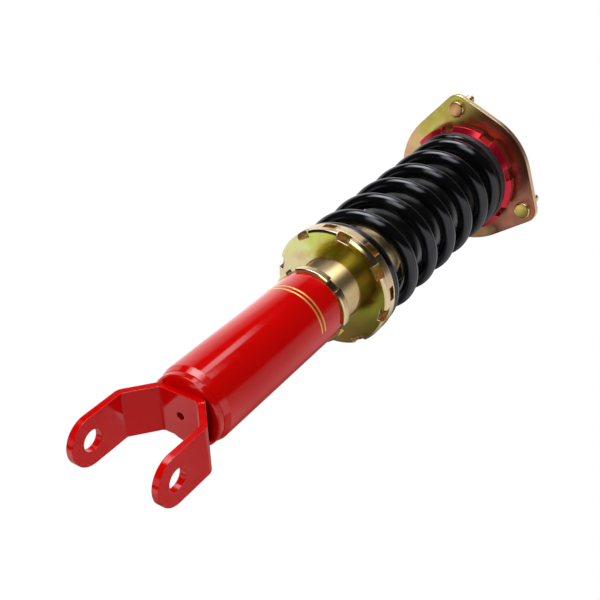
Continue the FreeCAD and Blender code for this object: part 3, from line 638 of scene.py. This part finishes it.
# What gloss and metal see of the studio, from the object's middle. Directions are a turn about
# Z from the X axis and a rise over the level, both in degrees, and light is a strength.
MIDDLE = np.array([0.0, 0.0, 0.2])
TO_PAPER = np.array([0.343, -0.763, 0.5475])

# Points of curves: degrees and what holds there
PAPER_BY_TURN = [(0, 1), (22, 0.9), (45, 0.36), (105, 0.15), (170, 0.1), (190, 0.4), (235, 0.4),
                 (265, 0.1), (292, 0.1), (308, 0.42), (316, 1), (360, 1)]
LOW_PAPER_EDGE = [(-58, 290), (-50, 303)]
LOW_PAPER_BY_RISE = [(-56, 1.55), (-50, 1.1)]
WALL_EDGE = [(-60, 166), (20, 167), (45, 178)]
WALL_PAST_EDGE = [(-4, 0), (5, 1.05), (62, 1.0), (76, 0.72), (88, 0.45), (98, 0.15), (108, 0)]
WALL_BY_RISE = [(-66, 0), (-54, 0.6), (-46, 1), (28, 1), (36, 0.40), (40, 0.46), (44, 0.6),
                (48, 0.9), (58, 0.9), (75, 0.5)]

# Soft boxes and cards: centre, half its width and height, softness of its edge, strength
STUDIO_PANELS = [((76, 10), (22, 19), 4, 3.2), ((76, 11), (13, 12), 7, 6.0),
                 ((101, -30), (15, 28), 6, 2.2), ((103, -25), (8, 12), 10, 2.3),
                 ((76, 58), (26, 10), 2.2, 1.0), ((12, -60), (20, 7), 6, 0.7)]
NEAR_PANELS = [((82.3, 30), (7.6, 4.7), 2.1, 3.2), ((102, 26), (8, 3), 1.5, 2.6)]


def curve(degrees, points):
    """Straight lines between the points of a curve, level before the first and after the last."""
    return np.interp(degrees, *zip(*points))


def eased(value, first, last):
    """Nothing at first, one at last and an S-curve of 3 x squared less 2 x cubed between."""
    share = np.clip((value - first) / (last - first), 0, 1)
    return share * share * (3 - 2 * share)


def panel(turn, rise, centre, half, soft, strength):
    """A soft-edged light: its strength inside a patch of the surroundings that reaches half its
    width and height to each side of its centre."""
    across = np.abs((turn - centre[0] + 180) % 360 - 180)
    along = np.abs(rise - centre[1])
    return (strength * eased(across, half[0] + soft, half[0] - soft)
            * eased(along, half[1] + soft, half[1] - soft))


def directions(columns):
    """Turn, rise and the way there, all round: cos rise x cos turn, cos rise x sin turn, sin
    rise."""
    turn, rise = np.meshgrid(np.linspace(0, 360, columns, endpoint=False),
                             np.linspace(-90, 90, columns // 2 + 1))
    a, e = np.radians(turn), np.radians(rise)
    return turn, rise, np.stack([np.cos(e) * np.cos(a), np.cos(e) * np.sin(a), np.sin(e)], -1)


def studio_light(turn, rise, way):
    """White paper lies behind the object and, brighter, under it. A wall of light stands on its
    left and soft boxes on its right, and the rest is dark."""
    paper = eased(way @ TO_PAPER, -0.02, 0.08) * curve(turn, PAPER_BY_TURN)
    side = curve(rise, LOW_PAPER_EDGE)
    under = (eased(turn, side, side + 14) * eased(turn, 336, 322) * eased(rise, -71, -64)
             * eased(rise, -35, -50) * curve(rise, LOW_PAPER_BY_RISE))
    past_edge = turn - curve(rise, WALL_EDGE)
    wall = curve(past_edge, WALL_PAST_EDGE) * curve(rise, WALL_BY_RISE)
    wall *= 1 - 0.32 * eased(rise, 28, 36) * eased(past_edge, 45, 5)
    light = np.maximum(np.maximum(paper, under), wall) + 0.02
    for numbers in STUDIO_PANELS:
        light += panel(turn, rise, *numbers)
    return light


def near_light(turn, rise):
    """Light of the small cards that stand close to the tube: strips that only its lower end
    mirrors, and paper that its upper end sees more of."""
    side = (turn + 180) % 360 - 180
    paper = 0.42 * eased(side - (rise - 36.5) * 3.3, 44, 18) * eased(side, -70, -30)
    strips = sum(panel(turn, rise, *numbers) for numbers in NEAR_PANELS)
    return strips + paper * eased(rise, 31, 38) * eased(rise, 50, 44)


def only_mirrored(card, material):
    """A stage piece that only gloss and metal see."""
    dress(card, material)
    card.visible_camera = False
    card.visible_diffuse = False
    card.visible_transmission = False
    card.visible_shadow = False


def shining_ball(name, radius, way, brightness, seen_through):
    """A ball round the object with a brightness for each way.
    What is behind it adds to its own light when it is seen through."""
    ball = surface(name, MIDDLE + radius * way)
    glow = ball.data.attributes.new("glow", "FLOAT", "POINT")
    glow.data.foreach_set("value", brightness.ravel().astype(np.float32))
    m, tree = new_material(name + "_light")
    kept = add(tree, "Attribute", {"attribute_name": "glow"})
    light = add(tree, "Emission", links={"Strength": kept.outputs["Fac"]})
    clear = add(tree, "BsdfTransparent", Color=(1.0, 1.0, 1.0, 1.0))
    both = add(tree, "AddShader", links={0: light.outputs[0], 1: clear.outputs[0]})
    add(tree, "OutputMaterial", links={0: (both if seen_through else light).outputs[0]})
    only_mirrored(ball, m)


def grey_net(radius=0.13, rows=12, columns=40, share=0.31):
    """Net that stands round the fork's left side and lets through this share of the light that
    the fork mirrors: a patch of a cylinder, point (i, j) at height i and turn j."""
    turn = np.radians(np.linspace(198, 290, columns))
    height = np.linspace(-0.13, 0.115, rows)[:, None]
    places = [radius * np.cos(turn), radius * np.sin(turn), height]
    points = np.stack([np.broadcast_to(place, (rows, columns)) for place in places], axis=-1)
    m, tree = new_material("grey_net")
    net = add(tree, "BsdfTransparent", Color=(share, share, share, 1.0))
    add(tree, "OutputMaterial", links={0: net.outputs[0]})
    only_mirrored(from_faces("grey_net", points.reshape(-1, 3),
                             grid_faces(rows, columns, ringed=False), 60), m)


turn, rise, way = directions(400)
shining_ball("surroundings", 1.9, way, studio_light(turn, rise, way), False)
shining_ball("near_cards", 0.8, way, near_light(turn, rise), True)
grey_net()

FLOOR_HALF = 30
FLOOR_LEVEL = -0.62
floor_corners = np.array([[x, y, FLOOR_LEVEL] for x, y in (
    (-FLOOR_HALF, -FLOOR_HALF), (FLOOR_HALF, -FLOOR_HALF), (FLOOR_HALF, FLOOR_HALF),
    (-FLOOR_HALF, FLOOR_HALF))])
floor = from_faces("floor", floor_corners, [[0, 1, 2, 3]], 30)
dress(floor, studio_floor())
floor.visible_glossy = False

# Camera of the photograph: it looks up the damper from below the fork. Its axes, its place and
# its focal length in pixels were solved from the rings and straight edges in the photo.
RIGHT = np.array([-0.84061, -0.02276, 0.54117])
DOWN = np.array([-0.26600, -0.85298, -0.44907])
AHEAD = np.array([0.47183, -0.52145, 0.71097])
CAMERA_PLACE = (-0.282601, 0.323265, -0.259822)
FOCAL_PIXELS = 917.246
PHOTO_PIXELS = 600
SENSOR_MM = 36.0
camera = bpy.data.cameras.new("camera")
camera.sensor_width = SENSOR_MM
camera.lens = FOCAL_PIXELS / PHOTO_PIXELS * SENSOR_MM
camera.clip_start = 0.01
viewer = bpy.data.objects.new("camera", camera)
scene.collection.objects.link(viewer)
viewer.matrix_world = stand(RIGHT, -DOWN, -AHEAD, CAMERA_PLACE)
scene.camera = viewer
